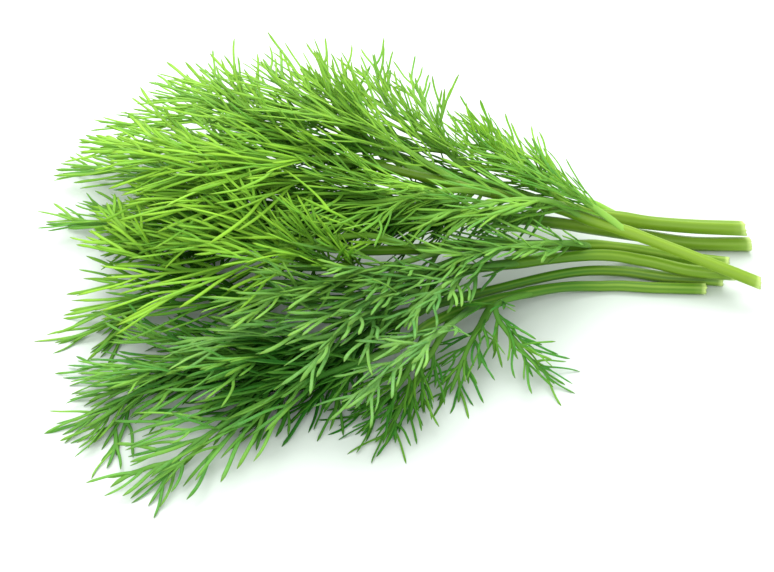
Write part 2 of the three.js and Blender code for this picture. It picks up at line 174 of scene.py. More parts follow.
# Each frond: its stem and how far along, the points that its midrib passes to its tip, the length of its
# longest side branches, how many pairs of them it has, its hue from deep green (0) to yellow green (1), how
# much pale bloom and painted sheen lies on it, and how many pairs of fine branches it has. The hue is partly
# painted light: yellower on the fronds on top and at the back, and a deeper green, as painted shade, on the
# lower and inner ones.
FROND_FACTS = ("stem", "at", "via", "span", "pairs", "hue", "bloom", "fine_pairs")
FRONDS = [
    # resting on the table, towards -Y
    (7, 1.0, [(-21, -46, 7), (-42, -60, 4), (-54, -72, 0.5)], 19, 5, 0.3, 0.5, 6),
    (6, 1.0, [(-29, -35, 7), (-53, -38, 5), (-67, -51, 0.5)], 20, 6, 0.35, 0.45, 9),
    (5, 1.0, [(-33, -18, 11), (-57, -12, 8), (-73, -21, 0.5)], 22, 6, 0.6, 0.35, 6),
    (6, 0.8, [(-15, -30, 2.6), (-39, -33, 0.6), (-52, -40, -0.8)], 16, 4, 0.25, 0.45, 10),
    (7, 0.86, [(2, -45, 6), (-7, -52, 0.5)], 10, 4, 0.3, 0.3, 1),
    (7, 0.76, [(8, -38, 6), (-2, -59, 0.5)], 8, 4, 0.3, 0.35, 1),
    (7, 0.62, [(19, -31, 6), (14, -43, 0.5)], 8, 4, 0.25, 0.35, 1),
    (7, 0.5, [(26, -20, 9), (31, -31, 6), (38, -37, 1.5)], 8, 5, 0.25, 0.3, 1),
    (6, 0.9, [(-12, -35, 8), (-29, -45, 6), (-39, -49, 3)], 15, 5, 0.35, 0.6, 11),
    # resting on the table, towards +Y
    (4, 0.92, [(-40, 11, 9), (-71, 22, 4), (-90, 26, 0.5)], 20, 6, 0.5, 0.35, 6),
    (2, 0.92, [(-44, 31, 11), (-71, 46, 6), (-88, 51, 1)], 20, 6, 0.5, 0.35, 5),
    (1, 1.0, [(-31, 43, 18), (-55, 63, 12), (-78, 63, 7.5)], 20, 6, 0.7, 0.25, 4),
    # the middle of the pile
    (7, 0.69, [(12, -35, 14), (2, -46, 15), (-9, -57, 11)], 10, 4, 0.35, 0.85, 2),
    (5, 0.8, [(-14, -40, 17), (-31, -37, 16), (-48, -40, 12)], 16, 4, 0.45, 0.8, 4),
    (6, 0.7, [(2, -23, 16.4), (-15, -34, 18.4), (-34, -33, 16.4)], 13, 4, 0.45, 0.75, 4),
    (4, 0.62, [(10, -13, 16), (-5, -25, 18), (-24, -30, 18)], 14, 4, 0.4, 0.6, 5),
    (5, 0.9, [(-17, -18, 20.6), (-35, -10, 22.6), (-56, 0, 19.6)], 18, 5, 0.7, 0.2, 15),
    (4, 1.0, [(-31, -2, 17), (-50, 8, 14), (-67, 9, 10.5)], 20, 6, 0.7, 0.1, 15),
    (2, 1.0, [(-35, 24, 21), (-60, 35, 20), (-80, 42, 15.5)], 20, 6, 0.85, 0.25, 6),
    (5, 0.55, [(22, -11, 14.5), (12, -22, 17), (2, -34, 17)], 12, 4, 0.35, 0.7, 4),
    (3, 0.44, [(40, 9, 21.3), (25, 5, 23.3), (8, -2, 21.8)], 14, 6, 0.5, 0.4, 12),
    (4, 0.35, [(44, 0, 14.4), (31, -6, 17.9), (14, -14, 20.4)], 13, 6, 0.5, 0.55, 4),
    (2, 0.62, [(0, 12, 22), (-18, 7, 22), (-38, 10, 23)], 19, 6, 0.6, 0.3, 21),
    # the top of the pile
    (4, 0.8, [(-8, -11, 24.8), (-30, -17, 23.8), (-50, -16, 17.8), (-73, 6, 13.8)], 21, 6, 0.95, 0.15, 5),
    (4, 0.72, [(4, -14, 19), (-16, -26, 22), (-36, -35, 22)], 15, 5, 0.6, 0.65, 5),
    (3, 1.0, [(-22, 7, 29), (-40, 4, 28), (-59, 10, 23.5)], 20, 6, 0.9, 0.15, 5),
    (3, 0.8, [(-6, 22, 29), (-22, 24, 31), (-40, 27, 31)], 17, 5, 0.7, 0.25, 10),
    (3, 0.94, [(-15, 13, 31.5), (-29, 8, 34), (-46, 12, 32.4), (-65, 19, 28)], 20, 6, 0.85, 0.15, 7),
    (3, 0.67, [(16, 9, 24.5), (-2, 2, 26), (-24, 0, 25)], 18, 6, 0.65, 0.3, 19),
    (3, 0.33, [(52, 10, 19.1), (41, 16, 23.1), (27, 24, 26.6)], 12, 5, 0.5, 0.3, 8),
    # rising from the back
    (1, 0.32, [(51, 25, 12), (38, 34, 16), (23, 43, 22)], 13, 6, 0.65, 0.1, 6),
    (1, 0.45, [(41, 22.5, 16), (30, 27, 20), (19, 36, 23)], 13, 5, 0.7, 0.1, 7),
    (1, 0.62, [(22, 25, 21.5), (9, 29, 27), (0, 35, 33), (-5, 46, 37.5)], 15, 6, 0.75, 0.35, 6),
    (1, 0.7, [(14, 26, 26.4), (10, 34, 31.4), (4, 44, 35.4)], 10, 4, 0.7, 0.35, 4),
    (2, 0.75, [(-5, 21, 25.2), (-13, 35, 35.2), (-19, 41, 39.2)], 17, 6, 0.8, 0.35, 6),
    (3, 0.74, [(0, 19, 33), (-20, 28, 38), (-33, 40, 40)], 18, 6, 0.85, 0.35, 6),
    (2, 0.84, [(-24, 19, 28.6), (-39, 33, 35.6), (-48, 43, 38.1)], 20, 6, 0.85, 0.35, 6),
    (1, 0.86, [(-3, 35, 27), (-25, 41, 27), (-47, 47, 27), (-61, 53, 26.5)], 20, 6, 0.8, 0.35, 5),
]


# ---- random draws and lines ----

CURVE_STEPS = 200  # in which a smooth curve's length is measured
TANGENT_STEP = 1e-4  # to either side of a place on a curve, for the direction there
PARALLEL = 1e-9  # two straight pieces that span no more than this are parallel


def chance(*keys):
    """A number from 0 to 1, always the same for the same keys.

    A line's own keys come first, and the numbers after them tell its draws apart.
    """
    x = 1
    for key in (*keys, 0, 0):
        x = (x * x + (key + 2) * CHANCE_STEP) % CHANCE_PRIME
    return x / CHANCE_PRIME


def between(low, high, *keys):
    return low + (high - low) * chance(*keys)


def unit(vector):
    return vector / np.linalg.norm(vector)


def units(vectors):
    return vectors / np.linalg.norm(vectors, axis=1, keepdims=True)


def on_table(point, least):
    """Eases a point up so that it stays at least this far above the table."""
    over = point[2] - least
    if over > EASE:
        eased = over
    elif over > -EASE:
        eased = (over + EASE) ** 2 / (4 * EASE)
    else:
        eased = 0
    return np.array([point[0], point[1], least + eased])


def section_axes(direction):
    """The axes of a section across a direction: across, level with the table, and face, nearest to up."""
    across = np.cross(direction, UP)
    if np.linalg.norm(across) < UPRIGHT:
        across = np.array([0.0, -1.0, 0.0])
    across = unit(across)
    return across, unit(np.cross(across, direction))


class Curve:
    """A smooth curve through points, read by the share of its length."""

    def __init__(self, points):
        points = np.array(points, float)
        before = 2 * points[0] - points[1]
        after = 2 * points[-1] - points[-2]
        self.knots = np.vstack([before, points, after])
        self.times = np.linspace(0, 1, CURVE_STEPS + 1)
        steps = np.diff(self.at_times(self.times), axis=0)
        self.lengths = np.concatenate([[0], np.cumsum(np.linalg.norm(steps, axis=1))])
        self.length = self.lengths[-1]

    def at_times(self, times):
        spans = len(self.knots) - 3
        place = np.clip(times, 0, 1) * spans
        first = np.minimum(place.astype(int), spans - 1)
        w = (place - first)[:, None]
        p0, p1, p2, p3 = (self.knots[first + k] for k in range(4))
        v1, v2 = (p2 - p0) / 2, (p3 - p1) / 2
        return (2 * p1 - 2 * p2 + v1 + v2) * w**3 + (3 * p2 - 3 * p1 - 2 * v1 - v2) * w**2 + v1 * w + p1

    def times_of(self, shares):
        return np.interp(np.asarray(shares) * self.length, self.lengths, self.times)

    def points(self, shares):
        return self.at_times(self.times_of(shares))

    def directions(self, shares):
        times = self.times_of(shares)
        ahead = self.at_times(np.minimum(times + TANGENT_STEP, 1))
        behind = self.at_times(np.maximum(times - TANGENT_STEP, 0))
        return units(ahead - behind)


class Line:
    """A stem, a midrib or a thread: its corners, its radii there and the piece that it belongs to."""

    def __init__(self, node, points, radii, **facts):
        self.node = node
        self.points = points
        self.radii = radii
        self.forks = []  # where a thread leaves it: (share of its length, side)
        self.__dict__.update(facts)

    def at(self, share):
        """The point at a share of the line's length, and the direction there."""
        lengths = [np.linalg.norm(b - a) for a, b in zip(self.points, self.points[1:])]
        left = share * sum(lengths)
        i = 0
        while left > lengths[i] and i < len(lengths) - 1:
            left -= lengths[i]
            i += 1
        start, end = self.points[i], self.points[i + 1]
        return start + (end - start) * left / lengths[i], unit(end - start)


# ---- the room that each line takes ----


def piece_distances(a, b, starts, ends):
    """The least distances between the straight piece a-b and each of several others."""
    ab = b - a
    cd = ends - starts
    ca = a - starts
    aa = ab @ ab
    ee = np.einsum("ij,ij->i", cd, cd)
    ff = np.einsum("ij,ij->i", cd, ca)
    bb = cd @ ab
    cc = ca @ ab
    flat = aa * ee - bb * bb
    s = np.where(flat > PARALLEL, np.clip((bb * ff - cc * ee) / np.maximum(flat, PARALLEL), 0, 1), 0)
    t = (bb * s + ff) / ee
    kept = np.clip(t, 0, 1)
    s = np.where(t == kept, s, np.clip((bb * kept - cc) / aa, 0, 1))
    gap = ca + s[:, None] * ab - kept[:, None] * cd
    return np.sqrt(np.einsum("ij,ij->i", gap, gap))


class Pile:
    """The straight pieces of everything that has been placed."""

    ROOM = 60000  # for so many pieces

    def __init__(self):
        self.starts, self.ends, self.middles = np.empty((3, self.ROOM, 3))
        self.radii, self.reaches = np.empty((2, self.ROOM))
        self.lines, self.nodes = np.empty((2, self.ROOM), int)
        self.count = 0
        self.numbers = {}

    def number(self, thing):
        """A line's or a node's own number."""
        return self.numbers.setdefault(id(thing) if isinstance(thing, Line) else thing, len(self.numbers))

    def place(self, line):
        for start, end, r0, r1 in zip(line.points, line.points[1:], line.radii, line.radii[1:]):
            i = self.count
            self.starts[i], self.ends[i], self.middles[i] = start, end, (start + end) / 2
            self.radii[i] = max(r0, r1)
            self.reaches[i] = np.linalg.norm(end - start) / 2 + self.radii[i]
            self.lines[i], self.nodes[i] = self.number(line), self.number(line.node)
            self.count += 1

    def near(self, point, reach):
        """The numbers of the placed pieces within reach of a point."""
        n = self.count
        away = self.middles[:n] - point
        limits = self.reaches[:n] + reach
        return np.nonzero(np.einsum("ij,ij->i", away, away) < limits * limits)[0]

    def is_clear(self, line, among, apart, own_apart):
        """Whether a line keeps clear of the pieces among which it grows, its carrier's left out."""
        among = among[self.lines[among] != self.number(line.carrier)]
        rooms = np.where(self.nodes[among] == self.number(line.node), own_apart, apart)
        for start, end, r0, r1 in zip(line.points, line.points[1:], line.radii, line.radii[1:]):
            gaps = self.radii[among] + max(r0, r1) + rooms
            if np.any(piece_distances(start, end, self.starts[among], self.ends[among]) <= gaps):
                return False
        return True


pile = Pile()


# ---- growth ----


def sideways(parent, face, side, angle, raised):
    """The direction at an angle to a parent's, on one side of it, raised out of the frond's plane."""
    out = unit(np.cross(parent, face)) * side
    flat = parent * math.cos(angle) + out * math.sin(angle)
    return unit(flat * math.cos(raised) + face * math.sin(raised))


def thread_line(root, direction, length, towards, sag, shoulder):
    """A thread that leaves along a direction, then bends towards another and sags a little."""
    bend = root + direction * shoulder
    tip = bend + unit(direction + towards) * (length - shoulder) - UP * sag
    return [root, on_table(bend, THREAD_RADIUS / 2), on_table(tip, 0)]


def place_on(carrier, at):
    """The point at a share of a midrib's or a thread's length, and the direction and the face there."""
    if carrier.level:
        return *carrier.at(at), carrier.face
    direction = carrier.curve.directions([at])[0]
    return carrier.curve.points([at])[0], direction, section_axes(direction)[1]


def grow_thread(kind, frond, carrier, at, side, key, angle, raised, length, sag=0):
    """Grows one thread clear of all the others, shorter if it must be, or leaves it out."""
    root, parent, face = place_on(carrier, at)
    radii = [0, kind["radius"], 0]
    among = pile.near(root, length + sag + kind["radius"] + CLEARANCE)
    towards = parent * kind["turn_back"]
    facts = {"carrier": carrier, "level": carrier.level + 1, "at_share": at, "side": side, "face": face}
    for share in kind["lengths"]:
        tried = length * share
        if tried < kind["least"]:
            return
        for lifted, swung in WAYS_CLEAR:
            turn, lift = math.radians(angle + swung), math.radians(raised + lifted)
            direction = sideways(parent, face, side, turn, lift)
            points = thread_line(root, direction, tried, towards, sag, kind["shoulder"])
            line = Line(carrier.node, points, radii, key=key, length=tried, full=length, **facts)
            if pile.is_clear(line, among, *kind["rooms"]):
                pile.place(line)
                carrier.forks.append((at, side))
                frond["grown"][carrier.level].append(line)
                return


def make_stem(name):
    """A stem's line, as long straight pieces, which is where the fronds leave it, and its smooth curve."""
    curve = Curve(STEMS[name]["line"])
    foot, top = STEMS[name]["radii"]
    steps = round(curve.length / STEM_STEP)
    shares = np.linspace(0, 1, steps + 1)
    points = curve.points(shares)
    radii = foot + (top - foot) * shares
    points[:, 2] = np.maximum(points[:, 2], radii * math.cos(math.pi / STEM_SIDES))
    line = Line(name, list(points), list(radii), curve=curve, joints=[])
    pile.place(line)
    return line


def midrib_radius(share):
    return MIDRIB_RADIUS + (MIDRIB_TIP_RADIUS - MIDRIB_RADIUS) * share


def make_frond(index, stems):
    """A frond with its midrib in place and nothing on it yet."""
    frond = dict(zip(FROND_FACTS, FRONDS[index]), index=index, node=f"frond_{index + 1:02}")
    stem = stems[frond["stem"] - 1]
    at = frond["at"] * TOP_FROND
    stem.joints.append(at)
    curve = Curve([stem.at(at)[0]] + [on_table(p, MIDRIB_TIP_RADIUS) for p in frond["via"]])
    shares = np.linspace(0, 1, CHECK_STEPS + 1)
    radii = list(midrib_radius(shares))
    frond["midrib"] = Line(frond["node"], list(curve.points(shares)), radii, curve=curve, level=0)
    frond["grown"] = [[], [], []]  # its side branches, their threads and the threads of those
    pile.place(frond["midrib"])
    return frond


def pairs_along(count, stagger):
    """The branches of so many pairs: each one's pair, its side and how far along it stands."""
    for pair in range(count):
        for side in (1, -1):
            yield pair, side, (pair + 0.5 + stagger * side) / count


def grow_branches(frond):
    """The side branches of a frond, in pairs from its stalk to its tip."""
    for pair, side, along in pairs_along(frond["pairs"], PAIR_STAGGER):
        key = (frond["index"], pair, side)
        at = STALK_SHARE + (LAST_PAIR - STALK_SHARE) * along**PAIR_CROWDING
        angle = OPEN_AT_BASE - OPEN_CLOSING * along + between(*BRANCH_TURNS, *key, 1)
        raised = between(*BRANCH_RAISED, *key, 2)
        first = FIRST_SPAN + FIRST_SPAN_REST * min(1, along * FIRST_SPAN_GROWTH)
        swell = (1 - SPAN_TAPER * along) * first
        length = frond["span"] * SPAN_REACH * swell * between(*BRANCH_LENGTHS, *key, 3)
        sag = between(*BRANCH_SAGS, *key, 4) * length
        grow_thread(COARSE, frond, frond["midrib"], at, side, key, angle, raised, length, sag)


def grow_fine_branches(frond):
    """Fine branches between those of the part's source, and lower on the stalk."""
    first, last = FINE_BRANCH_PLACES
    raised_range = OTHERS_RAISED.get(frond["index"], FINE_BRANCH_RAISED)
    for pair, side, along in pairs_along(frond["fine_pairs"], FINE_STAGGER):
        key = (frond["index"], FINE_BRANCH_KEY + pair, side)
        at = first + (last - first) * along
        angle = between(*FINE_BRANCH_ANGLES, *key, 1)
        raised = between(*raised_range, *key, 2)
        swell = min(1, FINE_FIRST_SPAN + along) * (1 - SPAN_TAPER * along)
        length = frond["span"] * SPAN_REACH * swell * between(*FINE_BRANCH_LENGTHS, *key, 3)
        grow_thread(FINE, frond, frond["midrib"], at, side, key, angle, raised, length)


def grow_side_threads(frond):
    """The first threads of each side branch, one to each side."""
    for branch in frond["grown"][0]:
        for j, rule in enumerate(SIDE_THREADS):
            if branch.full < rule["least"]:
                continue
            key = (*branch.key, 5, j)
            side = rule["side"] * branch.side
            angle = between(*THREAD_ANGLES, *key)
            raised = between(*THREAD_RAISED, *branch.key, 6, j)
            length = branch.full * rule["share"] * between(*THREAD_LENGTHS, *branch.key, 7, j)
            length = max(length, LEAST_THREAD)
            grow_thread(COARSE, frond, branch, rule["at"], side, key, angle, raised, length)


def divide(frond, carrier, rules):
    """Grows the fine threads of a branch or a thread."""
    for j, rule in enumerate(rules):
        key = (*carrier.key, FINE_THREAD_KEY + carrier.level, j)
        at = rule["at"] + between(*FINE_THREAD_SHIFTS, *key, 1)
        side = rule["side"] * carrier.side
        angle = between(*FINE_THREAD_ANGLES, *key, 2)
        raised = between(*FINE_THREAD_RAISED, *key, 3)
        length = carrier.length * rule["share"] * between(*FINE_THREAD_LENGTHS, *key, 4)
        length = max(length, LEAST_FINE_THREAD)
        grow_thread(FINE, frond, carrier, at, side, key, angle, raised, length)


def grow_fine_threads(frond):
    """Fine threads on every branch, and in the dense fronds on the longer threads too."""
    branches, threads, _ = frond["grown"]
    for branch in branches:
        short = branch.full < SIDE_THREADS[1]["least"]
        divide(frond, branch, MORE_SIDE_THREADS + (SIDE_THREADS[1:] if short else []))
    if frond["index"] in DENSE_FRONDS:
        for thread in threads:
            if thread.length >= LEAST_DIVIDED:
                divide(frond, thread, THREADS_OF_THREADS)


# ---- the shade inside the pile ----

SHADE_CELL = 2.5
SHADE_MARGIN = 3  # cells round the bunch
SHADE_SLANT = 0.8  # cells that the light from behind moves forward for each cell that it comes down
SHADE_DEPTH = 15  # millimetres of thread above each cell that take most of its light
SHADE_SAMPLES = 6  # of each straight piece


class Shade:
    """How much of the light from above is taken by the threads and stems over each place in the pile."""

    def __init__(self, starts, ends):
        margin = SHADE_MARGIN * SHADE_CELL
        self.low = np.minimum(starts.min(axis=0), ends.min(axis=0)) - margin
        high = np.maximum(starts.max(axis=0), ends.max(axis=0)) + margin
        grid = np.zeros(np.ceil((high - self.low) / SHADE_CELL).astype(int))
        lengths = np.linalg.norm(ends - starts, axis=1) / SHADE_SAMPLES
        for share in (np.arange(SHADE_SAMPLES) + 0.5) / SHADE_SAMPLES:
            cells = ((starts + (ends - starts) * share - self.low) / SHADE_CELL).astype(int)
            np.add.at(grid, tuple(cells.T), lengths)
        for axis in (0, 1, 2):
            grid = (np.roll(grid, 1, axis) + 2 * grid + np.roll(grid, -1, axis)) / 4
        above = np.zeros_like(grid)
        for layer in range(grid.shape[2] - 2, -1, -1):
            over = above[:, :, layer + 1] + grid[:, :, layer + 1]
            above[:, :, layer] = (1 - SHADE_SLANT) * over + SHADE_SLANT * np.roll(over, -1, axis=1)
        self.grid = 1 - np.exp(-above / SHADE_DEPTH)

    def at(self, points):
        """The shade at each of some points, smoothly from cell to cell."""
        places = (points - self.low) / SHADE_CELL - 0.5
        cells = places.astype(int)
        part = places - cells
        total = np.zeros(points.shape[:-1])
        for corner in np.ndindex(2, 2, 2):
            weight = np.prod(np.where(corner, part, 1 - part), axis=-1)
            total += weight * self.grid[tuple(np.moveaxis(cells + corner, -1, 0))]
        return total


# ---- meshes ----

VALUES = ("tone", "along", "edge", "pale", "hue", "bloom", "shade")  # kept at each corner for the materials
LEAST_HEIGHT = 0.02  # of any corner above the table
FORK_SWELL = 0.45  # how much wider a line is beside a fork
FORK_SWELL_MOST = 1.4  # of that, where forks lie close together
FORK_SWELL_PLACE = 0.7  # how far past the fork it is widest
FORK_SWELL_LENGTH = 1.0


class Surface:
    """A piece's mesh, gathered part by part: corners, faces and the values at each corner."""

    def __init__(self):
        self.corners = []
        self.values = []
        self.faces = []
        self.count = 0

    def add(self, corners, values):
        """Adds corners with their values, and returns the first one's number."""
        first = self.count
        self.corners.append(corners.reshape(-1, 3))
        self.values.append(values.reshape(-1, len(VALUES)))
        self.count += len(self.corners[-1])
        return first

    def tube(self, rings, values, end, start=None):
        """A tube through rings of corners, closed by a fan at its end and, where one is given, its start."""
        steps, sides = rings.shape[:2]
        index = self.add(rings, values) + np.arange(steps * sides).reshape(steps, sides)
        after = np.roll(index, -1, axis=1)
        quads = np.stack([index[:-1], index[1:], after[1:], after[:-1]], axis=-1)
        self.faces += quads.reshape(-1, 4).tolist()
        if start is not None:
            middle = self.add(start, values[0].mean(axis=0))
            self.faces += [[a, b, middle] for a, b in zip(index[0].tolist(), after[0].tolist())]
        middle = self.add(end, values[-1].mean(axis=0))
        self.faces += [[b, a, middle] for a, b in zip(index[-1].tolist(), after[-1].tolist())]


def corner_values(rings, **given):
    """The values at each corner of a tube. Each given one is a number, one a ring or one a side."""
    values = np.zeros((*rings.shape[:2], len(VALUES)))
    for name, value in given.items():
        values[:, :, VALUES.index(name)] = value
    return values


def rings_along(path, across, face, section, half_widths, thickness):
    """Rings of corners across a path. half_widths holds, for each ring, the width to either side of it."""
    x, y = section[:, 0], section[:, 1]
    sideways_by = np.where(x > 0, half_widths[:, :1], half_widths[:, 1:]) * x
    up_by = thickness[:, None] * y
    rings = path[:, None] + across[:, None] * sideways_by[..., None] + face[:, None] * up_by[..., None]
    rings[..., 2] = np.maximum(rings[..., 2], LEAST_HEIGHT)
    return rings


def axes_along(directions):
    """The axes of the sections across a path: across, level with the table, and face, nearest to up."""
    across = units(np.cross(directions, UP))
    return across, np.cross(across, directions)


def circle(sides):
    """The angles of a round section's corners, and the corners."""
    angles = 2 * math.pi * np.arange(sides) / sides
    return angles, np.stack([np.cos(angles), np.sin(angles)], axis=1)


def fork_swell(line, distances, length):
    """How much wider a line is to either side near the forks on that side, beside its own width."""
    swell = np.zeros((len(distances), 2))
    for share, side in line.forks:
        away = (distances - share * length - FORK_SWELL_PLACE) / FORK_SWELL_LENGTH
        swell[:, 0 if side > 0 else 1] += FORK_SWELL * np.exp(-(away**2))
    return np.minimum(swell, FORK_SWELL_MOST * FORK_SWELL)


# A thread's section, with a channel on its upper side, and how near each corner is to its margins.
THREAD_SECTION = np.array([(1, 0), (0.55, 0.75), (0, 0.45), (-0.55, 0.75), (-1, 0), (0, -1)])
THREAD_EDGE = np.array([1, 0.4, 0, 0.4, 1, 0.4])
RING_STEP = 1.5  # between the rings of a thread
LEAST_RINGS = 5
TIP_SHARE = 0.14  # of a thread's length that narrows to its point
TIP_RINGS = np.array([0.62, 0.32, 0.1])  # the rings in that share, from its point
TIP_FULLNESS = 0.6  # below 1, so that the tip is blunt
BEND_SHARE = 0.35  # how far along a thread its bend is centred
CURLS = (-0.1, 0.1)  # how far the bend is pushed to one side, as a share of the thread's length
SWAYS = (-0.02, 0.02)  # how far the thread swings to either side of its path, likewise
TWISTS = (-38, 38)  # how far it turns about itself, in degrees
HALF_WIDTHS = {1: 0.5, 2: 0.46, 3: 0.41}  # of a branch, of its threads and of theirs
WIDTH_CHANGES = (0.88, 1.1)
FULL_WIDTH_LENGTH = 12  # the length of a thread of that width
SHORT_WIDTH = 0.5  # how wide the shortest threads are, beside those
LONG_WIDTH = 1.04  # how wide the longest threads are, likewise
SLENDER_FRONDS = (*range(4, 8), *range(28, 37))
SLENDER_WIDTH = 0.74  # how wide the threads of the slender fronds are, beside the others
ROOT_WIDTH = 1.03  # a thread's width at its root and how much of it is lost on the way to its tip
WIDTH_LOSS = 0.12
FLATNESS = 0.5  # a thread's thickness, beside its width
BRANCH_THICKNESS = 0.25  # how much thicker a branch is than the threads on it
ROOT_FLARE = 0.35
ROOT_FLARE_LENGTH = 1.3
BRANCH_PALENESS = (0.5, 5)  # how pale the root is, and how far from it that fades
THREAD_PALENESS = (0.15, 3)


def thread_path(thread, shares):
    """Points and directions along a thread's smooth path."""
    root, knee, tip = thread.path
    a = BEND_SHARE
    t = ((np.sqrt(a * a + (1 - 2 * a) * shares) - a) / (1 - 2 * a))[:, None]
    turn = 2 * math.pi * shares[:, None]
    points = (1 - t) ** 2 * root + 2 * t * (1 - t) * knee + t**2 * tip + thread.sway * np.sin(turn)
    directions = (1 - t) * (knee - root) + t * (tip - knee) + math.pi * thread.sway * np.cos(turn)
    return points, units(directions)


def set_path(thread):
    """Gives a thread its smooth path, which starts on the path of what carries it."""
    start, bend, tip = thread.points
    first = bend - start
    knee = start + first * max(1, BEND_SHARE * thread.length / np.linalg.norm(first))
    across = unit(np.cross(first, thread.face))
    knee = knee + across * (thread.length * between(*CURLS, *thread.key, 30))
    knee[2] = max(knee[2], THREAD_RADIUS / 2)
    if thread.level > 1:
        start = thread_path(thread.carrier, np.array([thread.at_share]))[0][0]
    thread.path = (start, knee, tip)
    thread.sway = across * thread.length * between(*SWAYS, *thread.key, 34)


def thread_half_width(frond, thread):
    half_width = HALF_WIDTHS[thread.level] * between(*WIDTH_CHANGES, *thread.key, 32)
    half_width *= min(LONG_WIDTH, SHORT_WIDTH + (1 - SHORT_WIDTH) * thread.length / FULL_WIDTH_LENGTH)
    if frond["index"] in SLENDER_FRONDS:
        half_width *= SLENDER_WIDTH
    return half_width


def add_thread_mesh(surface, frond, thread):
    """A branch or a thread: flat, with a channel along it, wider at its forks, and pointed."""
    set_path(thread)
    length = thread.length
    count = max(LEAST_RINGS, round(length / RING_STEP))
    shares = np.concatenate([np.linspace(0, 1 - TIP_SHARE, count), 1 - TIP_SHARE * TIP_RINGS])
    path, directions = thread_path(thread, shares)
    twist = math.radians(between(*TWISTS, *thread.key, 31)) * shares[:, None]
    flat = units(np.cross(directions, thread.face))
    upper = np.cross(flat, directions)
    across = flat * np.cos(twist) + upper * np.sin(twist)
    face = upper * np.cos(twist) - flat * np.sin(twist)
    width = thread_half_width(frond, thread)
    distances = shares * length
    body = ROOT_WIDTH - WIDTH_LOSS * shares
    tip = np.clip((1 - shares) / TIP_SHARE, 0, 1) ** TIP_FULLNESS
    flare = 1 + ROOT_FLARE * np.exp(-((distances / ROOT_FLARE_LENGTH) ** 2))
    half = (width * body * tip * flare)[:, None] * (1 + fork_swell(thread, distances, length))
    thickness = width * FLATNESS * tip * (1 + BRANCH_THICKNESS * (thread.level == 1))
    rings = rings_along(path, across, face, THREAD_SECTION, half, thickness)
    palest, fade = BRANCH_PALENESS if thread.level == 1 else THREAD_PALENESS
    values = corner_values(
        rings,
        tone=chance(*thread.key, 33),
        along=shares[:, None],
        edge=THREAD_EDGE,
        pale=(palest * np.exp(-distances / fade))[:, None],
        hue=frond["hue"],
        bloom=frond["bloom"],
    )
    surface.tube(rings, values, thread.path[2])


MIDRIB_SIDES = 10
MIDRIB_RING_STEP = 1.6
MIDRIB_TIP_SHARE = 0.06  # of a midrib's length that narrows to its point
MIDRIB_FLATNESS = 0.92
MIDRIB_FORK_SWELL = 0.7  # how much a midrib swells at a fork, beside a thread
MIDRIB_EDGE = 0.6  # how light its edges are, beside a thread's
MIDRIB_PALENESS = 0.35  # at its tip, and how much more at its foot, and how far from there that fades
FOOT_PALENESS = 0.65
FOOT_PALENESS_LENGTH = 22
SHEATH_HALF_WIDTH = 1.1
SHEATH_PAST = 2  # how far past its length the sheath is half closed
SHEATH_CLOSING = 1.2  # length over which it closes
ROUND_END = 0.5  # the power that rounds the end of a midrib and of a stem


def add_midrib_mesh(surface, frond):
    """A frond's midrib, from the sheath round its foot, which is wide and flat, to its pointed tip."""
    curve = frond["midrib"].curve
    length = curve.length
    shares = np.linspace(0, 1, round(length / MIDRIB_RING_STEP))[:-1]
    path = curve.points(shares)
    across, face = axes_along(curve.directions(shares))
    distances = shares * length
    clasp = 1 / (1 + np.exp((distances - SHEATH_LENGTH - SHEATH_PAST) / SHEATH_CLOSING))
    radius = midrib_radius(shares) * np.clip((1 - shares) / MIDRIB_TIP_SHARE, 0, 1) ** ROUND_END
    half = (radius * (1 - clasp) + SHEATH_HALF_WIDTH * clasp)[:, None]
    half = half * (1 + MIDRIB_FORK_SWELL * fork_swell(frond["midrib"], distances, length))
    angles, section = circle(MIDRIB_SIDES)
    thickness = radius * MIDRIB_FLATNESS
    rings = rings_along(path, across, face, section, half, thickness)
    pale = MIDRIB_PALENESS + FOOT_PALENESS * np.exp(-distances / FOOT_PALENESS_LENGTH)
    values = corner_values(
        rings,
        tone=chance(frond["index"], 40),
        edge=np.abs(np.cos(angles)) * MIDRIB_EDGE,
        pale=pale[:, None],
        hue=frond["hue"],
        bloom=frond["bloom"],
    )
    surface.tube(rings, values, frond["midrib"].points[-1])


STEM_MESH_SIDES = 36
STEM_RING_STEP = 2
STEM_FIT = 0.96  # the round stem lies inside the corners of the faceted one
STEM_RIBS = 7
RIB_DEPTH = 0.05
RIB_STARTS = (0, 6)  # where the ribs stand at a stem's cut, in radians
RIB_TURN = 0.6  # how far they wind about it
RIB_EVENNESS = 0.6  # how deep the ribs are all round, and how much that changes from side to side
RIB_UNEVENNESS = 0.4
UNEVENNESS_STARTS = (0, 5)
JOINT_SWELL = 0.16  # where a frond leaves
JOINT_LENGTH = 4
STEM_END_LENGTH = 5  # that narrows into the last sheath
STEM_END = 0.02  # the share of that length in which it narrows no more
# The cut face from its middle out: radius as a share of the stem's, and depth in millimetres.
CUT_FACE = [(0.3, 0.7), (0.5, 0.45), (0.62, 0.08), (0.86, 0.0), (0.97, 0.12), (1.0, 0.4)]
PAST_RIM = 1  # where the even rings begin
CUT_SLANT = (0.5, 0.3)  # how steeply the cut may slant, across the stem and from top to bottom
CUT_SLANT_LENGTH = 1.5
FRAY = 0.3  # how far the cut edge stands in and out
FRAY_LENGTH = 0.7
CUT_PALENESS = 0.9
CUT_PALENESS_LENGTH = 0.5


def stem_ribs(index, shares):
    """How far the ribs stand in and out all round a stem, from -1 to 1, deeper on two of its sides."""
    angles = circle(STEM_MESH_SIDES)[0]
    turn = between(*RIB_STARTS, index, 50) + RIB_TURN * shares[:, None]
    unevenness = RIB_UNEVENNESS * np.cos(2 * angles + between(*UNEVENNESS_STARTS, index, 51))
    return np.cos(STEM_RIBS * angles + turn) * (RIB_EVENNESS + unevenness)


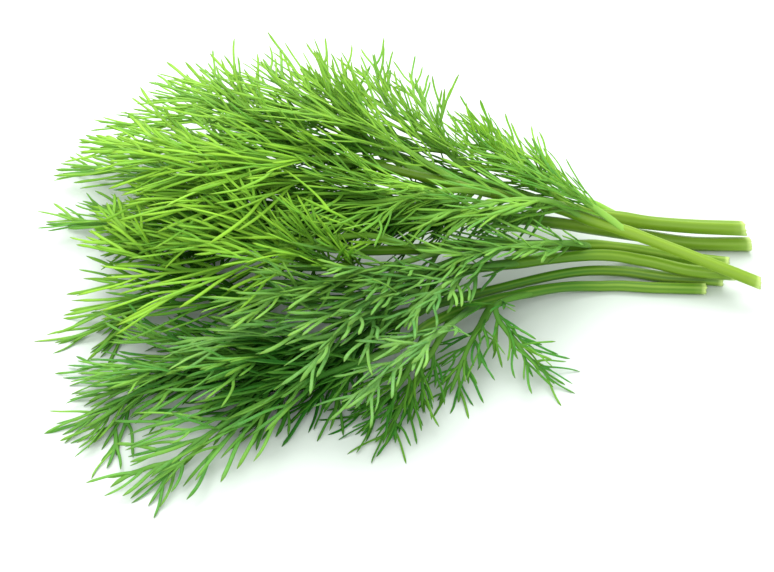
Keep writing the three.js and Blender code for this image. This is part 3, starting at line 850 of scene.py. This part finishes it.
def add_stem_mesh(surface, stem, index):
    """A ribbed stem, swollen where fronds leave it, from its slanting, frayed cut to its last sheath."""
    curve = stem.curve
    length = curve.length
    foot, top = stem.radii[0], stem.radii[-1]
    depths = np.array([depth for _, depth in CUT_FACE])
    rim_depth = depths[-1]
    body = np.linspace(rim_depth + PAST_RIM, length, round(length / STEM_RING_STEP))
    distances = np.concatenate([depths, body])
    shares = distances / length
    taper = foot + (top - foot) * shares
    radius = taper * STEM_FIT
    radius[: len(CUT_FACE)] *= [share for share, _ in CUT_FACE]
    rim = radius / radius[len(CUT_FACE)]
    for joint in stem.joints:
        radius *= 1 + JOINT_SWELL * np.exp(-(((shares - joint) * length / JOINT_LENGTH) ** 2))
    radius *= np.clip((1.0 - shares) * length / STEM_END_LENGTH, STEM_END, 1) ** ROUND_END

    path = curve.points(shares)
    path[:, 2] = np.maximum(path[:, 2], taper)
    directions = curve.directions(shares)
    across, face = axes_along(directions)
    section = circle(STEM_MESH_SIDES)[1]
    ribs = stem_ribs(index, shares)
    around = radius[:, None] * (1 + RIB_DEPTH * ribs)
    out = section[:, 0, None] * across[:, None] + section[:, 1, None] * face[:, None]
    rings = path[:, None] + out * around[..., None]
    slant = np.array([between(-most, most, index, 52 + i) for i, most in enumerate(CUT_SLANT)])
    lean = (section @ slant) * around * np.exp(-distances / CUT_SLANT_LENGTH)[:, None]
    rings += directions[:, None] * lean[..., None]
    rings[..., 2] = np.maximum(rings[..., 2], LEAST_HEIGHT)
    fray = np.array([between(-FRAY, FRAY, index, 56, side) for side in range(STEM_MESH_SIDES)])
    frayed = fray * np.exp(-((distances[:, None] / FRAY_LENGTH) ** 2)) * rim[:, None]
    rings += directions[:, None] * frayed[..., None]

    cut = CUT_PALENESS * np.exp(-np.maximum(distances - rim_depth, 0) / CUT_PALENESS_LENGTH)
    values = corner_values(
        rings,
        tone=chance(index, 54),
        along=shares[:, None],
        edge=0.5 + 0.5 * ribs,
        pale=cut[:, None],
        hue=STEMS[stem.node]["hue"],
    )
    surface.tube(rings, values, rings[-1].mean(axis=0), rings[0].mean(axis=0))


# ---- materials ----


class Shader:
    """A material's nodes, with a short call for each kind that the scene needs."""

    def __init__(self, name):
        self.material = bpy.data.materials.new(name)
        self.material.use_nodes = True
        self.tree = self.material.node_tree
        self.tree.nodes.clear()

    def set(self, socket, value):
        if isinstance(value, bpy.types.NodeSocket):
            self.tree.links.new(value, socket)
        else:
            socket.default_value = value

    def node(self, kind, **inputs):
        node = self.tree.nodes.new(kind)
        for name, value in inputs.items():
            self.set(node.inputs[name.replace("_", " ")], value)
        return node

    def value(self, name):
        """A value kept at the mesh's corners."""
        node = self.node("ShaderNodeAttribute")
        node.attribute_name = name
        return node.outputs["Fac"]

    def math(self, operation, a, b):
        node = self.node("ShaderNodeMath")
        node.operation = operation
        self.set(node.inputs[0], a)
        self.set(node.inputs[1], b)
        return node.outputs[0]

    def times(self, a, b):
        return self.math("MULTIPLY", a, b)

    def scaled(self, value, low, high):
        """A value from 0 to 1 as one from low to high."""
        node = self.node("ShaderNodeMapRange", Value=value)
        node.inputs["To Min"].default_value = low
        node.inputs["To Max"].default_value = high
        return node.outputs["Result"]

    def mix(self, factor, a, b):
        node = self.node("ShaderNodeMix")
        node.data_type = "RGBA"
        self.set(node.inputs["Factor"], factor)
        self.set(node.inputs[6], a)
        self.set(node.inputs[7], b)
        return node.outputs[2]

    def shade(self, most):
        """How far the colour turns dark inside the pile."""
        return self.times(self.value("shade"), most)

    def noise(self, scale):
        """Noise from 0 to 1, with so many patches to a metre."""
        place = self.node("ShaderNodeTexCoord").outputs["Object"]
        return self.node("ShaderNodeTexNoise", Vector=place, Scale=scale).outputs["Fac"]

    def finish(self, surface):
        self.node("ShaderNodeOutputMaterial", Surface=surface.outputs[0])
        return self.material


# A frond's hue runs from deep green to yellow green. From frond to frond it is partly painted shade, deeper
# on the lower and inner fronds, and partly painted light, yellower on those on top and at the back.
DEEP_GREEN = (0.014, 0.26, 0.006, 1)
YELLOW_GREEN = (0.34, 0.68, 0.03, 1)
VEIN_GREEN = (0.38, 0.66, 0.1, 1)
# Pale waxy bloom, which also stands in for painted sheen: the whitish reflection off the waxy threads.
BLOOM_AND_SHEEN_GREEN = (0.28, 0.53, 0.2, 1)
MARGIN_GREEN = (0.33, 0.64, 0.07, 1)
TIP_BROWN = (0.1, 0.13, 0.005, 1)
GLOW_GREEN = (0.38, 0.75, 0.01, 1)
SHADE_GREEN = (0.001, 0.1, 0.0003, 1)
TONE_SHIFTS = (-0.3, 0.3)  # from a frond's hue to a thread's, and from that to its blotches'
BLOTCH_SHIFTS = (-0.35, 0.35)
BLOTCH_SCALE = 110
MOTTLES = (0.1, 1.1)  # how much of the bloom and painted sheen lies on
MOTTLE_SCALE = 900
VEIN_SHARE = 0.6  # how much of each colour shows where it shows most
MARGIN_SHARE = 0.3
BROWN_SHARE = 0.6
GLOW_SHARE = 0.5
MARGIN_SHARPNESS = 3.0
BROWN_SHARPNESS = 9.0
LEAF_DARKEST = 0.85  # how much of its own colour a thread loses in full shade
GLOW_DARKEST = 0.95
LEAF_SHINE = (0.14, 0.02)  # in the open and in full shade
LEAF_ROUGHNESS = 0.5
LEAF_GLOW = 0.2  # the share of light that passes through a thread


def leaf_colour(shader):
    """A thread's colour in the open: its hue, with painted light and shade, its pale root, its bloom and
    painted sheen, its light margins and its dry tip.
    """
    tone = shader.scaled(shader.value("tone"), *TONE_SHIFTS)
    blotches = shader.scaled(shader.noise(BLOTCH_SCALE), *BLOTCH_SHIFTS)
    hue = shader.math("ADD", shader.value("hue"), shader.math("ADD", tone, blotches))
    # Deep to yellow green by hue, which from frond to frond is partly painted light and painted shade.
    colour = shader.mix(hue, DEEP_GREEN, YELLOW_GREEN)
    colour = shader.mix(shader.times(shader.value("pale"), VEIN_SHARE), colour, VEIN_GREEN)
    mottle = shader.scaled(shader.noise(MOTTLE_SCALE), *MOTTLES)
    # Mottled pale bloom, partly real and partly painted sheen.
    colour = shader.mix(shader.times(shader.value("bloom"), mottle), colour, BLOOM_AND_SHEEN_GREEN)
    margin = shader.math("POWER", shader.value("edge"), MARGIN_SHARPNESS)
    colour = shader.mix(shader.times(margin, MARGIN_SHARE), colour, MARGIN_GREEN)
    tip = shader.math("POWER", shader.value("along"), BROWN_SHARPNESS)
    return shader.mix(shader.times(tip, BROWN_SHARE), colour, TIP_BROWN)


def leaf_material():
    """Waxy leaf that lets some light through, darker inside the pile."""
    shader = Shader("leaf")
    colour = leaf_colour(shader)
    glow_colour = shader.mix(GLOW_SHARE, colour, GLOW_GREEN)
    glow_colour = shader.mix(shader.shade(GLOW_DARKEST), glow_colour, SHADE_GREEN)
    colour = shader.mix(shader.shade(LEAF_DARKEST), colour, SHADE_GREEN)
    shine = shader.scaled(shader.value("shade"), *LEAF_SHINE)
    body = shader.node(
        "ShaderNodeBsdfPrincipled", Base_Color=colour, Roughness=LEAF_ROUGHNESS, Specular_IOR_Level=shine
    )
    glow = shader.node("ShaderNodeBsdfTranslucent", Color=glow_colour)
    both = shader.node("ShaderNodeMixShader", Fac=LEAF_GLOW)
    shader.set(both.inputs[1], body.outputs[0])
    shader.set(both.inputs[2], glow.outputs[0])
    return shader.finish(both)


STEM_GREEN = (0.055, 0.17, 0.007, 1)
STEM_LIGHT = (0.27, 0.43, 0.045, 1)
STEM_OLIVE = (0.16, 0.29, 0.005, 1)
CUT_PALE = (0.5, 0.66, 0.2, 1)
STREAKS = (0.2, 1.1)  # how light the ribs are
STREAK_SCALE = 60
STEM_DARKEST = 0.8
STEM_SHINE = 0.25
STEM_ROUGHNESS = 0.4


def stem_material():
    """Green to olive, light along the ribs, and pale at the cut."""
    shader = Shader("stem")
    streaks = shader.scaled(shader.noise(STREAK_SCALE), *STREAKS)
    colour = shader.mix(shader.value("hue"), STEM_GREEN, STEM_OLIVE)
    colour = shader.mix(shader.times(shader.value("edge"), streaks), colour, STEM_LIGHT)
    colour = shader.mix(shader.value("pale"), colour, CUT_PALE)
    colour = shader.mix(shader.shade(STEM_DARKEST), colour, SHADE_GREEN)
    body = shader.node(
        "ShaderNodeBsdfPrincipled", Base_Color=colour, Roughness=STEM_ROUGHNESS, Specular_IOR_Level=STEM_SHINE
    )
    return shader.finish(body)


# Pale grey, over-lit to white. Its green tint is painted light: a green cast in the shadows, as of light
# through the leaves.
FLOOR_WHITE = (0.6, 0.665, 0.615, 1)
FLOOR_ROUGHNESS = 0.6


def floor_material():
    shader = Shader("floor")
    body = shader.node("ShaderNodeBsdfPrincipled", Base_Color=FLOOR_WHITE, Roughness=FLOOR_ROUGHNESS)
    return shader.finish(body)


# ---- the scene ----


def add_object(name, data):
    thing = bpy.data.objects.new(name, data)
    bpy.context.scene.collection.objects.link(thing)
    return thing


def show(name, surface, material, node, shade):
    """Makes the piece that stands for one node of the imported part."""
    corners = np.concatenate(surface.corners)
    mesh = bpy.data.meshes.new(name)
    mesh.from_pydata((corners * MM).tolist(), [], surface.faces)
    values = np.concatenate(surface.values)
    values[:, VALUES.index("shade")] = shade.at(corners)
    for i, value in enumerate(VALUES):
        attribute = mesh.attributes.new(value, "FLOAT", "POINT")
        attribute.data.foreach_set("value", np.ascontiguousarray(values[:, i]))
    mesh.shade_smooth()
    mesh.materials.append(material)
    piece = add_object(name, mesh)
    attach(piece, "root")
    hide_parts(node)


def show_bunch():
    """Grows the bunch in the order of the part's source, then the fine pieces, and makes all the meshes."""
    stems = [make_stem(name) for name in STEMS]
    fronds = [make_frond(index, stems) for index in range(len(FRONDS))]
    for grow in (grow_branches, grow_side_threads, grow_fine_branches, grow_fine_threads):
        for frond in fronds:
            grow(frond)
    shade = Shade(pile.starts[: pile.count], pile.ends[: pile.count])
    stem_look = stem_material()
    leaf_look = leaf_material()
    for index, stem in enumerate(stems):
        surface = Surface()
        add_stem_mesh(surface, stem, index)
        show("dill_" + stem.node, surface, stem_look, stem.node, shade)
    for frond in fronds:
        surface = Surface()
        add_midrib_mesh(surface, frond)
        for threads in frond["grown"]:
            for thread in threads:
                add_thread_mesh(surface, frond, thread)
        show("dill_" + frond["node"], surface, leaf_look, frond["node"], shade)


CAMERA_TARGET = (-1, -15, 12)
CAMERA_DISTANCE = 376.2
CAMERA_ELEVATION = 38  # degrees above the horizon
CAMERA_LENS = 70
CAMERA_SENSOR = 36
CAMERA_NEAR = 0.01  # metres
CAMERA_FAR = 20


def add_camera():
    data = bpy.data.cameras.new("camera")
    data.lens = CAMERA_LENS
    data.sensor_width = CAMERA_SENSOR
    data.clip_start = CAMERA_NEAR
    data.clip_end = CAMERA_FAR
    camera = add_object("camera", data)
    elevation = math.radians(CAMERA_ELEVATION)
    back = Vector((0, -math.cos(elevation), math.sin(elevation)))
    camera.location = (Vector(CAMERA_TARGET) + back * CAMERA_DISTANCE) * MM
    camera.rotation_euler = (math.radians(90 - CAMERA_ELEVATION), 0, 0)
    bpy.context.scene.camera = camera


# Each lamp's place and size in metres, and its power in watts.
LAMPS = {
    "key": {"place": (-0.12, 0.48, 0.55), "size": 0.8, "power": 8.5},
    "fill": {"place": (-0.05, -0.6, 0.5), "size": 0.6, "power": 3},
}
FLOOR_HALF = 3  # metres
SKY_STRENGTH = 1.05


def add_lamp(name, place, size, power):
    """A square lamp that points at the middle of the bunch."""
    data = bpy.data.lights.new(name, "AREA")
    data.size = size
    data.energy = power
    lamp = add_object(name, data)
    lamp.location = place
    lamp.rotation_euler = (-Vector(place)).to_track_quat("-Z", "Y").to_euler()


def add_floor():
    corners = [(x * FLOOR_HALF, y * FLOOR_HALF, 0) for x, y in ((-1, -1), (1, -1), (1, 1), (-1, 1))]
    mesh = bpy.data.meshes.new("floor")
    mesh.from_pydata(corners, [], [(0, 1, 2, 3)])
    mesh.materials.append(floor_material())
    floor = add_object("floor", mesh)


def add_studio():
    """The floor, a white sky and the lamps, which light the floor until only its soft shadows show."""
    add_floor()
    world = bpy.data.worlds.new("studio")
    world.use_nodes = True
    background = world.node_tree.nodes["Background"]
    background.inputs["Color"].default_value = (1, 1, 1, 1)
    background.inputs["Strength"].default_value = SKY_STRENGTH
    bpy.context.scene.world = world
    bpy.context.scene.view_settings.view_transform = "Standard"
    for name, lamp in LAMPS.items():
        add_lamp(name, **lamp)


show_bunch()
add_studio()
add_camera()
